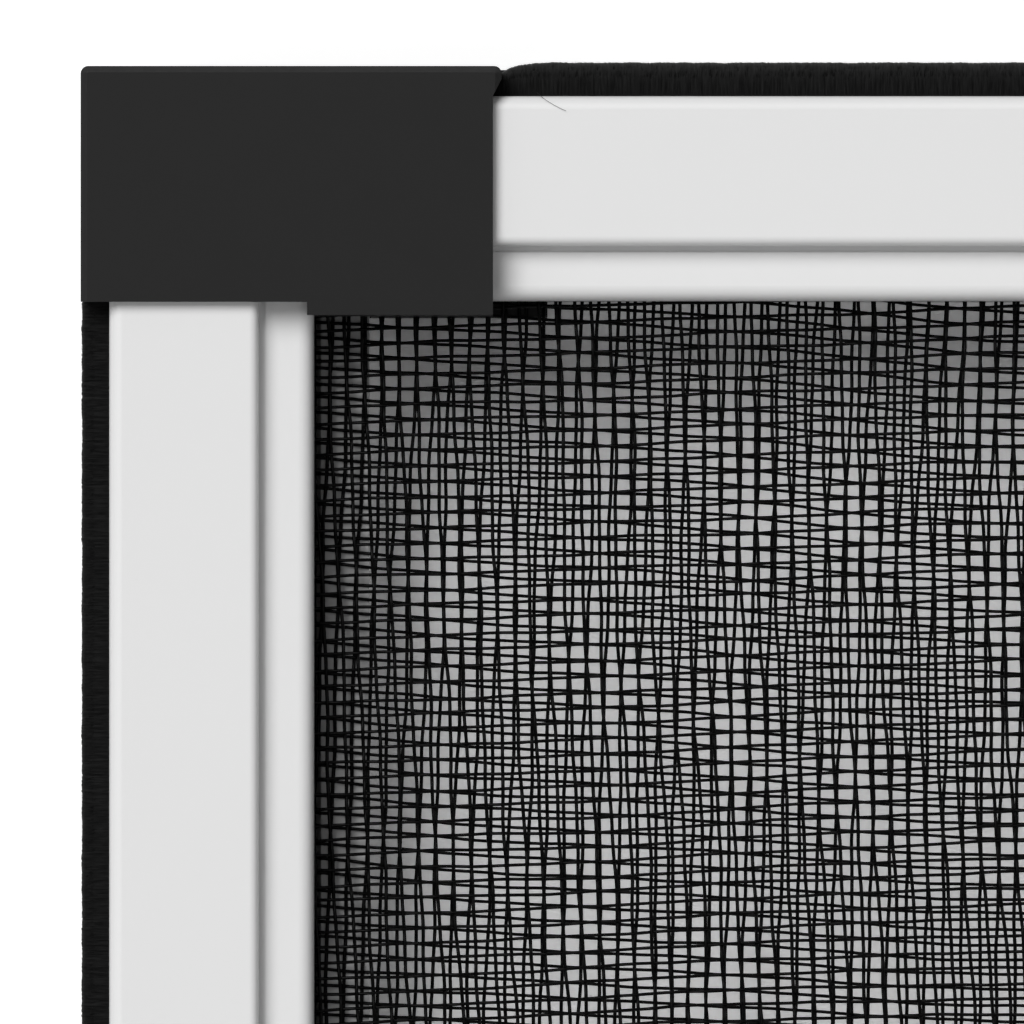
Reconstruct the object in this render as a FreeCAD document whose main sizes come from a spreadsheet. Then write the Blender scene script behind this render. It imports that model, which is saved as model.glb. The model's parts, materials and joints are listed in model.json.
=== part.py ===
import FreeCAD, Part
import Sketcher
import os

# An extending insect screen for a window.
# Two aluminium frames of the same section stand back to back. Each has two rails,
# two stiles, four black moulded corner caps, a mesh held by a cord in a groove, and
# brush strips round its edge. Shoes on the inner caps of one frame run in the back
# slots of the other frame's rails, so the screen slides out from 0.75 m to 1.42 m.
#
# X runs along the width, Y is the depth with the front at -Y, and Z is up.
# The origin is at the middle of the closed screen's foot.
#
# All lengths are in millimetres.
SIZES = {
    # The whole screen, closed
    "closed_width": 750,
    "cap_height": 500,
    "end_setback": 5,
    "least_overlap": 70,
    "half_gap": 1,
    "brush_overshoot": 0.4,
    # Clearances
    "fit": 0.15,
    "run_clearance": 0.3,
    # The aluminium section
    "main_face": 13.6,
    "step_width": 0.6,
    "lip_face": 4.35,
    "profile_depth": 9.5,
    "wall": 1,
    "step_depth": 2.5,
    "step_groove": 0.35,
    "inner_wall": 4.4,
    "outer_round": 1.2,
    "shoulder_round": 0.8,
    "inner_round": 1.3,
    # Its slot for the edge brush
    "brush_lip": 0.9,
    "brush_throat": 5.2,
    "brush_slot": 7.1,
    "brush_slot_height": 1.2,
    # Its back slot, for the shoes and the meeting brush
    "guide_lip": 0.9,
    "guide_throat": 3.4,
    "guide_slot": 6,
    "guide_height": 2,
    # Its groove for the cord that holds the mesh
    "cord_groove": 4.2,
    "cord_cover": 0.5,
    "cord_bead": 0.4,
    # The corner caps
    "cap_length": 37.5,
    "cap_top_wall": 2.7,
    "cap_side_wall": 2.55,
    "cap_front": 1.2,
    "cap_bevel": 0.6,
    "cap_corner_round": 0.7,
    "plate_lap": 0.2,
    "cap_flare": 0.8,
    "cap_flare_edge": 1.1,
    "cap_skin": 1.6,
    "cap_rib": 1.2,
    "cap_wall": 2,
    "tab_wall": 1.4,
    "tab_lap": 0.5,
    "leg_length": 22,
    "leg_lead": 1,
    # The shoe that runs in the other frame's rail
    "shoe_clear": 0.4,
    "shoe_length": 13,
    # The mesh, with bundles of strands for its threads
    "mesh_wall": 0.3,
    "mesh_ridge": 0.15,
    "mesh_tuck": 2.4,
    "strand_bar": 2,
    "strand_ridge": 1,
    # The brushes
    "brush_gap": 0.15,
    "backing_height": 0.9,
    "meeting_backing": 1.2,
    "pile_bevel": 1,
    "pile_end_slope": 1.8,
}

# A mat of strands is shown by this many gaps across and up.
GAP_COLUMNS = 13
GAP_ROWS = 9

PLANES = {"X": "YZ_Plane", "Y": "XZ_Plane", "Z": "XY_Plane"}

doc = FreeCAD.newDocument("window_screen")
sheet = doc.addObject("Spreadsheet::Sheet", "Sizes")
for row, (alias, number) in enumerate(SIZES.items(), 1):
    sheet.set("A%d" % row, alias)
    sheet.set("B%d" % row, str(number))
    sheet.setAlias("B%d" % row, alias)
doc.recompute()


class Size:
    """A length with its value in millimetres and its formula in the sheet's words."""

    def __init__(self, value, formula):
        self.value = value
        self.formula = formula

    def __add__(self, other):
        other = as_size(other)
        return Size(self.value + other.value, "(%s + %s)" % (self.formula, other.formula))

    def __sub__(self, other):
        other = as_size(other)
        return Size(self.value - other.value, "(%s - %s)" % (self.formula, other.formula))

    def __mul__(self, factor):
        return Size(self.value * factor, "(%s * %s)" % (self.formula, factor))

    def __truediv__(self, factor):
        return Size(self.value / factor, "(%s / %s)" % (self.formula, factor))

    def __neg__(self):
        return Size(-self.value, "(-1 * %s)" % self.formula)


def as_size(number):
    """A plain number as a Size, and a Size as it is."""
    if isinstance(number, Size):
        return number
    return Size(float(number), str(number))


class Sheet:
    """Gives each driving size of the sheet by its name."""

    def __getattr__(self, alias):
        return Size(float(sheet.get(alias)), "Sizes." + alias)


s = Sheet()
ZERO = as_size(0)


# Sizes that follow from the driving ones

# The section, measured inwards from its outer edge
face_width = s.main_face + s.step_width + s.lip_face
slot_floor = s.brush_lip + s.brush_slot_height
guide_middle = slot_floor + s.wall + s.guide_slot / 2
cord_inner = face_width - s.inner_wall
cord_outer = cord_inner - s.cord_groove

# The section, measured back from its front face
guide_mouth = s.profile_depth - s.guide_lip
guide_floor = guide_mouth - s.guide_height
cord_diameter = s.cord_groove - s.mesh_wall - s.fit * 2
cord_floor = s.profile_depth - cord_diameter - s.cord_cover
chamber_back = cord_floor - s.wall
chamber_end = s.main_face - s.wall
mesh_seat = s.profile_depth - s.mesh_wall - s.mesh_ridge
brush_middle = s.profile_depth / 2

# The frame, measured from a cap's outer corner
block_width = s.cap_side_wall + face_width
block_height = s.cap_top_wall + face_width
half_length = s.closed_width - s.end_setback
rail_length = half_length - block_width * 2
stile_length = s.cap_height - block_height * 2

# The places of one frame, the one in front, closed
outer_end = -(s.closed_width / 2)
inner_end = outer_end + half_length
front_plane = -(s.half_gap / 2 + s.profile_depth)
foot = s.brush_overshoot
head = foot + s.cap_height
mid_height = foot + s.cap_height / 2

# The shoe starts just clear of its own cap's block, and so of the other frame's cap.
shoe_start = block_width + s.shoe_clear
shoe_end = shoe_start + s.shoe_length
tongue_end = s.least_overlap - shoe_end - s.run_clearance


def origin_plane(body, role):
    """The body's own origin plane with this role."""
    for feature in body.Origin.OriginFeatures:
        if feature.Role == role:
            return feature
    raise ValueError("no plane " + role)


def attach(sketch, body, axis, start):
    """Lay a sketch across an axis of its body, a distance along that axis."""
    sketch.AttachmentSupport = [(origin_plane(body, PLANES[axis]), "")]
    sketch.MapMode = "FlatFace"
    # The XZ plane looks along -Y, so there the distance is counted backwards.
    shift = -start if axis == "Y" else start
    sketch.setExpression("AttachmentOffset.Base.z", shift.formula)


def hold(sketch, direction, geometry, point, length):
    """Fix one point's distance from the origin, by the sheet."""
    number = sketch.addConstraint(
        Sketcher.Constraint("Distance" + direction, -1, 1, geometry, point, length.value)
    )
    sketch.setExpression("Constraints[%d]" % number, length.formula)


def add_loop(sketch, points):
    """A closed outline of straight lines through the points."""
    first = sketch.GeometryCount
    corners = [FreeCAD.Vector(p.value, q.value, 0) for p, q in points]
    count = len(corners)
    for i, corner in enumerate(corners):
        sketch.addGeometry(Part.LineSegment(corner, corners[(i + 1) % count]), False)
    for i in range(count):
        following = first + (i + 1) % count
        sketch.addConstraint(Sketcher.Constraint("Coincident", first + i, 2, following, 1))
    for i, (p, q) in enumerate(points):
        hold(sketch, "X", first + i, 1, p)
        hold(sketch, "Y", first + i, 1, q)


def new_sketch(body, name, axis, loops, start):
    """A sketch of closed outlines across one axis of the body."""
    sketch = body.newObject("Sketcher::SketchObject", name + "_sketch")
    attach(sketch, body, axis, as_size(start))
    for loop in loops:
        add_loop(sketch, [(as_size(p), as_size(q)) for p, q in loop])
    return sketch


def pad(body, name, axis, loops, start, length):
    """Material from the outlines, from start along the axis."""
    feature = body.newObject("PartDesign::Pad", name)
    feature.Profile = new_sketch(body, name, axis, loops, start)
    feature.setExpression("Length", length.formula)
    feature.Reversed = axis == "Y"
    body.Tip = feature
    doc.recompute()
    return feature


def pocket(body, name, axis, loops, start, length):
    """Take away the outlines, from start along the axis, and see that it cuts."""
    before = body.Shape.Volume
    feature = body.newObject("PartDesign::Pocket", name)
    feature.Profile = new_sketch(body, name, axis, loops, start)
    feature.setExpression("Length", length.formula)
    feature.Reversed = axis != "Y"
    body.Tip = feature
    doc.recompute()
    if not body.Shape.Volume < before:
        raise ValueError(name + " cuts nothing")
    return feature


def rectangle(p0, p1, q0, q1):
    """The four corners of a rectangle."""
    return [(p0, q0), (p1, q0), (p1, q1), (p0, q1)]


def edges_at(shape, **place):
    """Names of the edges whose two ends both lie at the places given on x, y or z."""
    names = []
    for number, edge in enumerate(shape.Edges, 1):
        ends = [vertex.Point for vertex in edge.Vertexes]
        near = [
            abs(getattr(end, axis) - as_size(size).value) < 1e-4
            for end in ends
            for axis, size in place.items()
        ]
        if len(ends) == 2 and all(near):
            names.append("Edge%d" % number)
    if not names:
        raise ValueError("no edge at %s" % list(place))
    return names


def finish_edges(body, kind, name, edges, size):
    """A Fillet or a Chamfer of one size on the named edges."""
    base = body.Tip
    feature = body.newObject("PartDesign::" + kind, name)
    feature.Base = (base, edges)
    feature.setExpression("Radius" if kind == "Fillet" else "Size", size.formula)
    body.Tip = feature
    doc.recompute()
    return feature


def repeat(body, name, original, counts, pitches):
    """Copy a feature along its sketch's two axes, by a count and a pitch for each."""
    sketch = original.Profile[0]
    spans = [pitch * max(count - 1, 1) for count, pitch in zip(counts, pitches)]
    pattern = body.newObject("PartDesign::LinearPattern", name)
    pattern.Originals = [original]
    pattern.Direction = (sketch, ["H_Axis"])
    pattern.Occurrences = counts[0]
    pattern.setExpression("Length", spans[0].formula)
    pattern.Direction2 = (sketch, ["V_Axis"])
    pattern.Occurrences2 = counts[1]
    pattern.setExpression("Length2", spans[1].formula)
    body.Tip = pattern
    doc.recompute()
    return pattern


def section_outline():
    """The extrusion's outer outline as (depth, distance from the outer edge)."""
    step_floor = s.step_depth + s.step_groove
    step_end = s.main_face + s.step_width
    brush_near = brush_middle - s.brush_throat / 2
    brush_far = brush_middle + s.brush_throat / 2
    slot_near = brush_middle - s.brush_slot / 2
    slot_far = brush_middle + s.brush_slot / 2
    throat_low = guide_middle - s.guide_throat / 2
    throat_high = guide_middle + s.guide_throat / 2
    guide_low = guide_middle - s.guide_slot / 2
    guide_high = guide_middle + s.guide_slot / 2
    bead_edge = cord_outer + s.cord_bead
    bead_start = s.profile_depth - s.cord_cover
    front = [
        (ZERO, ZERO),
        (ZERO, s.main_face),
        (step_floor, s.main_face),
        (step_floor, step_end),
        (s.step_depth, step_end),
        (s.step_depth, face_width),
    ]
    cord_groove = [
        (mesh_seat, face_width),
        (mesh_seat, cord_inner),
        (cord_floor, cord_inner),
        (cord_floor, cord_outer),
        (bead_start, cord_outer),
        (bead_start, bead_edge),
        (s.profile_depth, bead_edge),
    ]
    guide_slot = [
        (s.profile_depth, throat_high),
        (guide_mouth, throat_high),
        (guide_mouth, guide_high),
        (guide_floor, guide_high),
        (guide_floor, guide_low),
        (guide_mouth, guide_low),
        (guide_mouth, throat_low),
        (s.profile_depth, throat_low),
        (s.profile_depth, ZERO),
    ]
    brush_slot = [
        (brush_far, ZERO),
        (brush_far, s.brush_lip),
        (slot_far, s.brush_lip),
        (slot_far, slot_floor),
        (slot_near, slot_floor),
        (slot_near, s.brush_lip),
        (brush_near, s.brush_lip),
        (brush_near, ZERO),
    ]
    return front + cord_groove + guide_slot + brush_slot


def chambers():
    """The two closed hollows of the extrusion, behind the face and inside the lip."""
    large = rectangle(s.wall, chamber_back, slot_floor + s.wall, chamber_end)
    lip_chamber = rectangle(
        s.step_depth + s.wall, mesh_seat - s.wall, cord_inner + s.wall, face_width - s.wall
    )
    return [large, lip_chamber]


def bar(body, length):
    """A cut length of the extrusion along X, its outer edge down."""
    pad(body, "Extrusion", "X", [section_outline()] + chambers(), 0, length)
    outer = edges_at(body.Shape, y=ZERO, z=ZERO)
    finish_edges(body, "Fillet", "OuterRound", outer, s.outer_round)
    shoulder = edges_at(body.Shape, y=ZERO, z=s.main_face)
    finish_edges(body, "Fillet", "ShoulderRound", shoulder, s.shoulder_round)
    inner = edges_at(body.Shape, y=s.step_depth, z=face_width)
    finish_edges(body, "Fillet", "InnerRound", inner, s.inner_round)


def cord(body, length):
    """The round cord that pins the mesh in its groove, in the bar's own frame."""
    middle_depth = cord_floor + s.fit + cord_diameter / 2
    middle_up = cord_outer + s.fit + cord_diameter / 2
    sketch = body.newObject("Sketcher::SketchObject", "Cord_sketch")
    attach(sketch, body, "X", ZERO)
    centre = FreeCAD.Vector(middle_depth.value, middle_up.value, 0)
    axis = FreeCAD.Vector(0, 0, 1)
    sketch.addGeometry(Part.Circle(centre, axis, cord_diameter.value / 2), False)
    hold(sketch, "X", 0, 3, middle_depth)
    hold(sketch, "Y", 0, 3, middle_up)
    radius = sketch.addConstraint(Sketcher.Constraint("Radius", 0, cord_diameter.value / 2))
    sketch.setExpression("Constraints[%d]" % radius, (cord_diameter / 2).formula)
    feature = body.newObject("PartDesign::Pad", "Cord")
    feature.Profile = sketch
    feature.setExpression("Length", length.formula)
    body.Tip = feature
    doc.recompute()


def edge_brush(body, length, stand):
    """A pile strip in the outer slot. Its tip stands out of the bar's outer edge."""
    # Heights are counted from the pile's tip, so the strip's own foot is its tip.
    pile_near = brush_middle - s.brush_throat / 2 + s.fit
    pile_far = brush_middle + s.brush_throat / 2 - s.fit
    back_near = brush_middle - s.brush_slot / 2 + s.fit
    back_far = brush_middle + s.brush_slot / 2 - s.fit
    shoulder = stand + s.brush_lip + s.fit
    top = shoulder + s.backing_height
    outline = [
        (pile_near, ZERO),
        (pile_far, ZERO),
        (pile_far, shoulder),
        (back_far, shoulder),
        (back_far, top),
        (back_near, top),
        (back_near, shoulder),
        (pile_near, shoulder),
    ]
    pad(body, "Strip", "X", [outline], 0, length)
    tips = edges_at(body.Shape, x=ZERO, z=ZERO) + edges_at(body.Shape, x=length, z=ZERO)
    finish_edges(body, "Chamfer", "EndSlope", tips, s.pile_end_slope)
    sides = edges_at(body.Shape, y=pile_near, z=ZERO)
    sides += edges_at(body.Shape, y=pile_far, z=ZERO)
    finish_edges(body, "Chamfer", "TipBevel", sides, s.pile_bevel)


def meeting_brush(body, length):
    """A pile strip in the inner stile's back slot, nearly touching the other frame."""
    pile_low = guide_middle - s.guide_throat / 2 + s.fit
    pile_high = guide_middle + s.guide_throat / 2 - s.fit
    back_low = guide_middle - s.guide_slot / 2 + s.fit
    back_high = guide_middle + s.guide_slot / 2 - s.fit
    shoulder = guide_mouth - s.fit
    base = shoulder - s.meeting_backing
    tip = s.profile_depth + s.half_gap - s.run_clearance
    outline = [
        (base, back_low),
        (shoulder, back_low),
        (shoulder, pile_low),
        (tip, pile_low),
        (tip, pile_high),
        (shoulder, pile_high),
        (shoulder, back_high),
        (base, back_high),
    ]
    pad(body, "Strip", "X", [outline], 0, length)


def cap_back_cells():
    """The four hollows of a cap's corner block, open to the back, between its ribs."""
    x0 = s.cap_wall
    x1 = block_width - s.cap_wall
    z0 = s.cap_wall
    z1 = block_height - s.cap_wall
    width = (x1 - x0 - s.cap_rib) / 2
    height = (z1 - z0 - s.cap_rib) / 2
    return [
        rectangle(x, x + width, z, z + height)
        for x in (x0, x1 - width)
        for z in (z0, z1 - height)
    ]


def cap(body):
    """A corner cap for the lower outer corner, its front face on the XZ plane."""
    tab_top = block_height + s.tab_wall
    tab_start = block_width - s.tab_lap
    # The plate hides the cut end of the stile
    plate_end = block_height + s.plate_lap
    # The wall over the rail is a little longer than the plate, and slants back to it
    flare_end = s.cap_length + s.cap_flare
    plate = [
        (ZERO, ZERO),
        (flare_end, ZERO),
        (flare_end, s.cap_flare_edge),
        (s.cap_length, s.cap_top_wall),
        (s.cap_length, tab_top),
        (tab_start, tab_top),
        (tab_start, plate_end),
        (ZERO, plate_end),
    ]
    pad(body, "FrontPlate", "Y", [plate], 0, s.cap_front)
    block_and_wall = [
        (ZERO, ZERO),
        (flare_end, ZERO),
        (flare_end, s.cap_flare_edge),
        (s.cap_length, s.cap_top_wall),
        (block_width, s.cap_top_wall),
        (block_width, block_height),
        (ZERO, block_height),
    ]
    pad(body, "Block", "Y", [block_and_wall], s.cap_front, s.profile_depth)
    tab = rectangle(block_width + s.fit, s.cap_length, block_height, tab_top)
    tab_depth = mesh_seat - s.mesh_ridge - s.run_clearance
    pad(body, "TabWall", "Y", [tab], s.cap_front, tab_depth)
    step_end = s.cap_top_wall + s.main_face + s.step_width
    filler = rectangle(block_width, s.cap_length, step_end, block_height)
    pad(body, "StepFiller", "Y", [filler], s.cap_front, s.step_depth)

    cells = cap_back_cells()
    cell_start = s.cap_front + s.cap_skin
    pocket(body, "BackCells", "Y", cells, cell_start, s.profile_depth - s.cap_skin)

    # A key in the rail's brush slot, then a leg in the rail and a leg in the stile
    sleeve = s.cap_length - block_width
    key = rectangle(
        s.cap_front + brush_middle - s.brush_throat / 2 + s.fit,
        s.cap_front + brush_middle + s.brush_throat / 2 - s.fit,
        s.cap_top_wall,
        s.cap_top_wall + slot_floor - s.fit,
    )
    pad(body, "SlotKey", "X", [key], block_width, sleeve)
    leg_near = s.cap_front + s.wall + s.fit
    leg_far = s.cap_front + chamber_back - s.fit
    leg_low = slot_floor + s.wall + s.fit
    leg_high = chamber_end - s.fit
    rail_leg = rectangle(
        leg_near, leg_far, s.cap_top_wall + leg_low, s.cap_top_wall + leg_high
    )
    pad(body, "RailLeg", "X", [rail_leg], block_width, s.leg_length)
    stile_leg = rectangle(
        s.cap_side_wall + leg_low, s.cap_side_wall + leg_high, leg_near, leg_far
    )
    pad(body, "StileLeg", "Z", [stile_leg], block_height, s.leg_length)
    leg_tips = edges_at(body.Shape, x=block_width + s.leg_length)
    leg_tips += edges_at(body.Shape, z=block_height + s.leg_length)
    finish_edges(body, "Chamfer", "LegLead", leg_tips, s.leg_lead)

    corners = edges_at(body.Shape, x=ZERO, z=ZERO) + edges_at(body.Shape, x=flare_end, z=ZERO)
    finish_edges(body, "Fillet", "CornerRound", corners, s.cap_corner_round)
    bevelled = edges_at(body.Shape, y=ZERO, z=ZERO) + edges_at(body.Shape, x=ZERO, y=ZERO)
    finish_edges(body, "Chamfer", "FrontBevel", bevelled, s.cap_bevel)


def sliding_cap(body):
    """A cap for an inner corner: a tongue in its own rail carries the shoe."""
    cap(body)
    back = s.cap_front + s.profile_depth
    middle = s.cap_top_wall + guide_middle
    tongue_half = s.guide_slot / 2 - s.fit
    tongue = rectangle(
        s.cap_front + guide_floor + s.fit,
        s.cap_front + guide_mouth - s.fit,
        middle - tongue_half,
        middle + tongue_half,
    )
    pad(body, "Tongue", "X", [tongue], block_width, tongue_end - block_width)
    neck_half = s.guide_throat / 2 - s.run_clearance
    neck = rectangle(shoe_start, shoe_end, middle - neck_half, middle + neck_half)
    neck_start = s.cap_front + guide_mouth - s.fit
    head_start = back + s.half_gap + s.guide_lip + s.run_clearance
    pad(body, "Neck", "Y", [neck], neck_start, head_start - neck_start)
    head_half = s.guide_slot / 2 - s.run_clearance
    shoe = rectangle(shoe_start, shoe_end, middle - head_half, middle + head_half)
    pad(body, "Shoe", "Y", [shoe], head_start, s.guide_height - s.run_clearance * 2)


def mesh(body):
    """The mat of strands as a thin wall, tucked at its edges, with ridges and gaps."""
    # The mat crosses the back of the lip and turns down beside the cord.
    lap = s.inner_wall + s.mesh_wall
    x1 = lap + rail_length
    z1 = lap + stile_length
    x2 = x1 + lap
    z2 = z1 + lap
    outline = [
        (lap, ZERO), (x1, ZERO), (x1, lap), (x2, lap), (x2, z1), (x1, z1),
        (x1, z2), (lap, z2), (lap, z1), (ZERO, z1), (ZERO, lap), (lap, lap),
    ]
    pad(body, "Wall", "Y", [outline], s.mesh_tuck, s.mesh_wall)
    tucks = [
        rectangle(lap, x1, ZERO, s.mesh_wall),
        rectangle(lap, x1, z2 - s.mesh_wall, z2),
        rectangle(ZERO, s.mesh_wall, lap, z1),
        rectangle(x2 - s.mesh_wall, x2, lap, z1),
    ]
    pad(body, "Tucks", "Y", tucks, 0, s.mesh_tuck)

    pitch_x = rail_length / GAP_COLUMNS
    pitch_z = stile_length / GAP_ROWS
    upright_x = lap + pitch_x - s.strand_ridge / 2
    upright = rectangle(upright_x, upright_x + s.strand_ridge, lap, z1)
    ridge_start = s.mesh_tuck - s.mesh_ridge
    uprights = pad(body, "Upright", "Y", [upright], ridge_start, s.mesh_ridge)
    repeat(body, "Uprights", uprights, (GAP_COLUMNS - 1, 1), (pitch_x, pitch_z))
    level_z = lap + pitch_z - s.strand_ridge / 2
    level = rectangle(lap, x1, level_z, level_z + s.strand_ridge)
    levels = pad(body, "Level", "Y", [level], s.mesh_tuck + s.mesh_wall, s.mesh_ridge)
    repeat(body, "Levels", levels, (1, GAP_ROWS - 1), (pitch_x, pitch_z))

    half_bar = s.strand_bar / 2
    gap = rectangle(
        lap + half_bar, lap + pitch_x - half_bar, lap + half_bar, lap + pitch_z - half_bar
    )
    through = s.mesh_wall + s.mesh_ridge * 2
    gaps = pocket(body, "Gap", "Y", [gap], ridge_start, through)
    repeat(body, "Gaps", gaps, (GAP_COLUMNS, GAP_ROWS), (pitch_x, pitch_z))


def build_frame(prefix, turned):
    """One frame of the screen. The back one is the front one turned about Z."""
    nodes = []

    def place(item, angle, x, y, z):
        """Turn an item about Y, set it in the frame, and turn it with the frame."""
        turn = FreeCAD.Rotation(FreeCAD.Vector(0, 1, 0), angle)
        if turned:
            turn = FreeCAD.Rotation(FreeCAD.Vector(0, 0, 1), 180) * turn
            x = -x
            y = -y
        item.Placement = FreeCAD.Placement(FreeCAD.Vector(0, 0, 0), turn)
        item.setExpression("Placement.Base.x", x.formula)
        item.setExpression("Placement.Base.y", y.formula)
        item.setExpression("Placement.Base.z", z.formula)

    def new_body(name):
        body = doc.addObject("PartDesign::Body", prefix + name)
        body.Label = prefix + name
        nodes.append(body)
        return body

    def twin(name, source):
        """The mirror image of a cap, at the other end of its stile."""
        image = doc.addObject("Part::Mirroring", prefix + name)
        image.Label = prefix + name
        image.Source = source
        image.Normal = FreeCAD.Vector(0, 0, 1)
        image.setExpression("Base.z", mid_height.formula)
        nodes.append(image)

    # The four sides: the turn about Y that lays a bar there, and its start and length
    left = outer_end + s.cap_side_wall
    right = inner_end - s.cap_side_wall
    low = foot + s.cap_top_wall
    high = head - s.cap_top_wall
    rail_left = outer_end + block_width
    rail_right = inner_end - block_width
    stile_low = foot + block_height
    stile_high = head - block_height

    sides = {
        "bottom": (0, rail_left, low),
        "top": (180, rail_right, high),
        "outer": (90, left, stile_high),
        "inner": (-90, right, stile_low),
    }
    for side, (angle, x, z) in sides.items():
        upright = side in ("outer", "inner")
        length = stile_length if upright else rail_length
        bar_body = new_body(side + ("_stile" if upright else "_rail"))
        bar(bar_body, length)
        place(bar_body, angle, x, front_plane, z)
        cord_body = new_body(side + "_spline")
        cord(cord_body, length)
        place(cord_body, angle, x, front_plane, z)

    # Edge brushes: between the caps on the rails, and down the whole outer stile
    inset = s.cap_length + s.cap_flare - block_width + s.brush_gap
    rail_stand = s.cap_top_wall + s.brush_overshoot
    short = rail_length - inset * 2
    bottom_brush = new_body("bottom_brush")
    edge_brush(bottom_brush, short, rail_stand)
    place(bottom_brush, 0, rail_left + inset, front_plane, low - rail_stand)
    top_brush = new_body("top_brush")
    edge_brush(top_brush, short, rail_stand)
    place(top_brush, 180, rail_right - inset, front_plane, high + rail_stand)
    outer_brush = new_body("outer_brush")
    edge_brush(outer_brush, stile_length - s.fit * 2, s.cap_side_wall)
    place(outer_brush, 90, left - s.cap_side_wall, front_plane, stile_high - s.fit)
    meeting = new_body("meeting_brush")
    meeting_brush(meeting, stile_length)
    place(meeting, -90, right, front_plane, stile_low)

    # Corner caps, whose front stands proud of the frame's front face
    cap_plane = front_plane - s.cap_front
    outer_bottom = new_body("outer_bottom_cap")
    cap(outer_bottom)
    place(outer_bottom, 0, outer_end, cap_plane, foot)
    twin("outer_top_cap", outer_bottom)
    inner_top = new_body("inner_top_cap")
    sliding_cap(inner_top)
    place(inner_top, 180, inner_end, cap_plane, head)
    twin("inner_bottom_cap", inner_top)

    # The mesh lies against the back edge of the inner walls
    mesh_body = new_body("mesh")
    mesh(mesh_body)
    lap = s.inner_wall + s.mesh_wall
    mesh_y = front_plane + mesh_seat - s.mesh_tuck
    place(mesh_body, 0, rail_left - lap, mesh_y, stile_low - lap)
    return nodes


def check(nodes):
    """Stop where an object has failed or a sub-part is not one valid solid."""
    for item in doc.Objects:
        if "Invalid" in item.State or "Error" in item.State:
            raise ValueError("%s failed: %s" % (item.Name, item.State))
    for node in nodes:
        shape = node.Shape
        if shape.isNull() or not shape.isValid() or len(shape.Solids) != 1:
            raise ValueError("%s is not one valid solid" % node.Label)


nodes = build_frame("front_", False) + build_frame("back_", True)
doc.recompute()
check(nodes)
os.makedirs("parts", exist_ok=True)
for node in nodes:
    node.Shape.exportStep("parts/%s.step" % node.Label)
    box = node.Shape.BoundBox
    print(
        "%-24s x %8.2f %8.2f  y %7.2f %7.2f  z %7.2f %7.2f  volume %9.1f"
        % (node.Label, box.XMin, box.XMax, box.YMin, box.YMax, box.ZMin, box.ZMax,
           node.Shape.Volume)
    )
print("travel", (half_length * 2 - s.closed_width - s.least_overlap).value)
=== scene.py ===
# %% [markdown]
# An extending insect screen, seen at its top left corner.
# Two slim white frames stand back to back and slide past each other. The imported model
# holds the frame, the caps and everything that moves, at its real size. This script
# gives them their finish and adds what is too fine for a solid: the woven threads of
# the two meshes and the fibres of the brushes. Everything is in metres.

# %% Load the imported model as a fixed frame
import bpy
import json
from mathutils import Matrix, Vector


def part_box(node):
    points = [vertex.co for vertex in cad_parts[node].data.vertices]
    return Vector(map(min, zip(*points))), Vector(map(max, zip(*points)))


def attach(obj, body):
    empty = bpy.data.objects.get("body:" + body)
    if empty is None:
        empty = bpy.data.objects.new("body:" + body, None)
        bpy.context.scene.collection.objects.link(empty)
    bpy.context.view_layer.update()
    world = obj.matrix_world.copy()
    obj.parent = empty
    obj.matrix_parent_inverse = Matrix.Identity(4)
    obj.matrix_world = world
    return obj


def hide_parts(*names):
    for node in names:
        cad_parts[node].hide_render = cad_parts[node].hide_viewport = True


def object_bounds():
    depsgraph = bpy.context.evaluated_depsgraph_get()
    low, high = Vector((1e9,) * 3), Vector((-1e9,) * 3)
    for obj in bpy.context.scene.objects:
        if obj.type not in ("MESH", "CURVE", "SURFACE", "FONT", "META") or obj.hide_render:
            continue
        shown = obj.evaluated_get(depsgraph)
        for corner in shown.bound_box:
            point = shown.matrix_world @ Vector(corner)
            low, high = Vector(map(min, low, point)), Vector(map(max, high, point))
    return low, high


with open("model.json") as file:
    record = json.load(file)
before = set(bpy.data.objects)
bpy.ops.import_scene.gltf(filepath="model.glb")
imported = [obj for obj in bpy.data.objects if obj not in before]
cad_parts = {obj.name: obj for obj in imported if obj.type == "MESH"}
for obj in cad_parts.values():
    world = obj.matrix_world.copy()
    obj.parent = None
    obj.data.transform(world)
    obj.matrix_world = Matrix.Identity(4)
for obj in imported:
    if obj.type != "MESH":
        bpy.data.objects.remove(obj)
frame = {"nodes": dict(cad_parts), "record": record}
cad_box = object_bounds()

# %% [markdown]
# The few modules that the rest needs. numpy works out every shape as whole arrays, and
# bpy turns the arrays into meshes. A seeded generator makes the same screen each run.

# %% Modules, units and a seeded generator
import json
import bpy
import numpy as np
from mathutils import Vector

MM = 0.001
SEED = 14
random = np.random.default_rng(SEED)


def corners(node):
    """The lowest and highest corner of a CAD node, as two arrays."""
    low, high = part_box(node)
    return np.array(low), np.array(high)


screen_low, screen_high = (np.array(corner) for corner in cad_box)
print("closed screen in mm", np.round((screen_high - screen_low) / MM, 1))

# %% [markdown]
# New pieces are built from arrays. A grid of points becomes a mesh of four-sided faces,
# and every piece rides on the frame that it belongs to. One helper does both, so that no
# piece is left without a body and a material.


# %% Helpers that turn arrays into pieces
def new_piece(name, points, faces, material, body):
    """A smooth mesh object from an array of points and a list of faces, on a body."""
    mesh = bpy.data.meshes.new(name)
    mesh.from_pydata(points.tolist(), [], faces)
    mesh.shade_smooth()
    mesh.materials.append(material)
    piece = bpy.data.objects.new(name, mesh)
    bpy.context.scene.collection.objects.link(piece)
    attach(piece, body)
    return piece


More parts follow.
